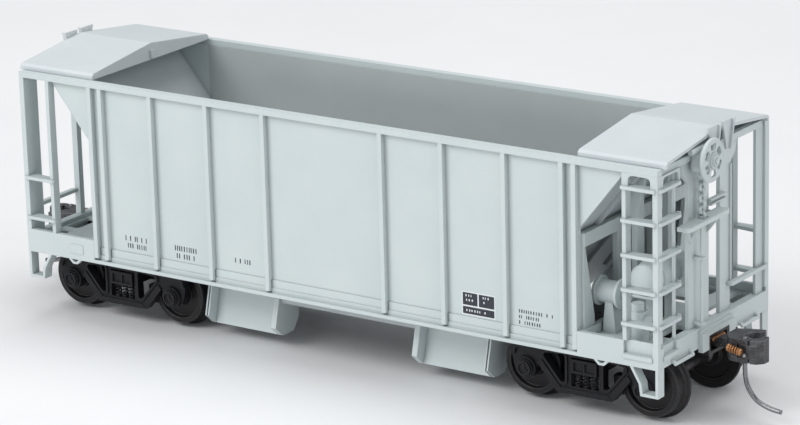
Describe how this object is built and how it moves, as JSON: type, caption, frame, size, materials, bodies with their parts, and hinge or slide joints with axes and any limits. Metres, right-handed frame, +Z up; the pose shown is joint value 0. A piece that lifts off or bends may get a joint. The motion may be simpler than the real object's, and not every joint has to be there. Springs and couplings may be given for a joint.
{
  "type": "model hopper car",
  "caption": "Model railway hopper car with an open load bay, sloped ends, gravity outlets, swivelling trucks, knuckle couplers and a turning hand-brake wheel.",
  "frame": {"origin": "on the floor under the wheel flanges, at the middle of the car", "axes": "+X along the car towards the hand-brake end, +Y to the car's left, +Z up"},
  "size_m": [0.1398, 0.0332, 0.0432],
  "materials": {
    "body_plastic": "satin",
    "roof_plastic": "satin",
    "hopper_plastic": "matte",
    "underframe_plastic": "satin",
    "truck_plastic": "satin",
    "wheel_black": "satin",
    "axle_steel": "satin",
    "coupler_metal": "satin",
    "spring_bronze": "satin",
    "pin_steel": "satin",
    "screw_steel": "satin"
  },
  "bodies": {
    "carbody": {"air_reservoir": "body_plastic", "ballast_bar": "screw_steel", "body_bolsters": "underframe_plastic", "box_lids": "underframe_plastic", "brake_cylinder": "body_plastic", "brake_housing": "body_plastic", "brake_pipes": "underframe_plastic", "brake_rod": "body_plastic", "brake_step": "body_plastic", "centre_sill": "underframe_plastic", "control_valve": "body_plastic", "draft_boxes": "underframe_plastic", "end_decks": "body_plastic", "end_frame_a": "body_plastic", "end_frame_b": "body_plastic", "end_sills": "body_plastic", "fixing_screws": "screw_steel", "grab_irons": "body_plastic", "hopper_ridge": "hopper_plastic", "ladders": "body_plastic", "outlet_chutes": "body_plastic", "outlet_gates": "body_plastic", "roof_brackets": "roof_plastic", "roof_panel_a": "roof_plastic", "roof_panel_b": "roof_plastic", "roping_hooks": "body_plastic", "side_posts": "body_plastic", "side_sheet_left": "body_plastic", "side_sheet_right": "body_plastic", "side_sills": "body_plastic", "side_slopes": "hopper_plastic", "sill_handholds": "body_plastic", "slope_sheet_a": "hopper_plastic", "slope_sheet_b": "hopper_plastic", "slope_supports": "body_plastic", "stirrup_steps": "body_plastic", "top_chords": "body_plastic"},
    "truck_a": {"side_frames_a": "truck_plastic", "truck_bolster_a": "truck_plastic", "truck_springs_a": "truck_plastic"},
    "wheelset_a_outer": {"axle_a_outer": "axle_steel", "wheels_a_outer": "wheel_black"},
    "wheelset_a_inner": {"axle_a_inner": "axle_steel", "wheels_a_inner": "wheel_black"},
    "coupler_a": {"coupler_head_a": "coupler_metal", "knuckle_spring_a": "spring_bronze"},
    "knuckle_a": {"knuckle_a": "coupler_metal", "trip_pin_a": "pin_steel"},
    "truck_b": {"side_frames_b": "truck_plastic", "truck_bolster_b": "truck_plastic", "truck_springs_b": "truck_plastic"},
    "wheelset_b_outer": {"axle_b_outer": "axle_steel", "wheels_b_outer": "wheel_black"},
    "wheelset_b_inner": {"axle_b_inner": "axle_steel", "wheels_b_inner": "wheel_black"},
    "coupler_b": {"coupler_head_b": "coupler_metal", "knuckle_spring_b": "spring_bronze"},
    "knuckle_b": {"knuckle_b": "coupler_metal", "trip_pin_b": "pin_steel"},
    "brake_wheel": {"brake_wheel": "body_plastic"}
  },
  "joints": [
    {"name": "truck_a_swivel", "type": "hinge", "parent": "carbody", "child": "truck_a", "pos_m": [-0.04275, 0, 0.00875], "axis": [0, 0, 1], "range_deg": [-6, 6]},
    {"name": "wheelset_a_outer_spin", "type": "hinge", "parent": "truck_a", "child": "wheelset_a_outer", "pos_m": [-0.05267, 0, 0.00551], "axis": [0, 1, 0], "continuous": true},
    {"name": "wheelset_a_inner_spin", "type": "hinge", "parent": "truck_a", "child": "wheelset_a_inner", "pos_m": [-0.03283, 0, 0.00551], "axis": [0, 1, 0], "continuous": true},
    {"name": "coupler_a_swing", "type": "hinge", "parent": "carbody", "child": "coupler_a", "pos_m": [-0.0535, 0, 0.0106], "axis": [0, 0, 1], "range_deg": [-10, 10], "stiffness_Nm_per_rad": 0.002},
    {"name": "knuckle_a_open", "type": "hinge", "parent": "coupler_a", "child": "knuckle_a", "pos_m": [-0.0639, 0.002, 0.0106], "axis": [0, 0, -1], "range_deg": [0, 25], "stiffness_Nm_per_rad": 0.0001},
    {"name": "truck_b_swivel", "type": "hinge", "parent": "carbody", "child": "truck_b", "pos_m": [0.04275, 0, 0.00875], "axis": [0, 0, 1], "range_deg": [-6, 6]},
    {"name": "wheelset_b_outer_spin", "type": "hinge", "parent": "truck_b", "child": "wheelset_b_outer", "pos_m": [0.05267, 0, 0.00551], "axis": [0, 1, 0], "continuous": true},
    {"name": "wheelset_b_inner_spin", "type": "hinge", "parent": "truck_b", "child": "wheelset_b_inner", "pos_m": [0.03283, 0, 0.00551], "axis": [0, 1, 0], "continuous": true},
    {"name": "coupler_b_swing", "type": "hinge", "parent": "carbody", "child": "coupler_b", "pos_m": [0.0535, 0, 0.0106], "axis": [0, 0, 1], "range_deg": [-10, 10], "stiffness_Nm_per_rad": 0.002},
    {"name": "knuckle_b_open", "type": "hinge", "parent": "coupler_b", "child": "knuckle_b", "pos_m": [0.0639, -0.002, 0.0106], "axis": [0, 0, -1], "range_deg": [0, 25], "stiffness_Nm_per_rad": 0.0001},
    {"name": "brake_wheel_spin", "type": "hinge", "parent": "carbody", "child": "brake_wheel", "pos_m": [0.0599, -0.0045, 0.039], "axis": [1, 0, 0], "continuous": true}
  ]
}
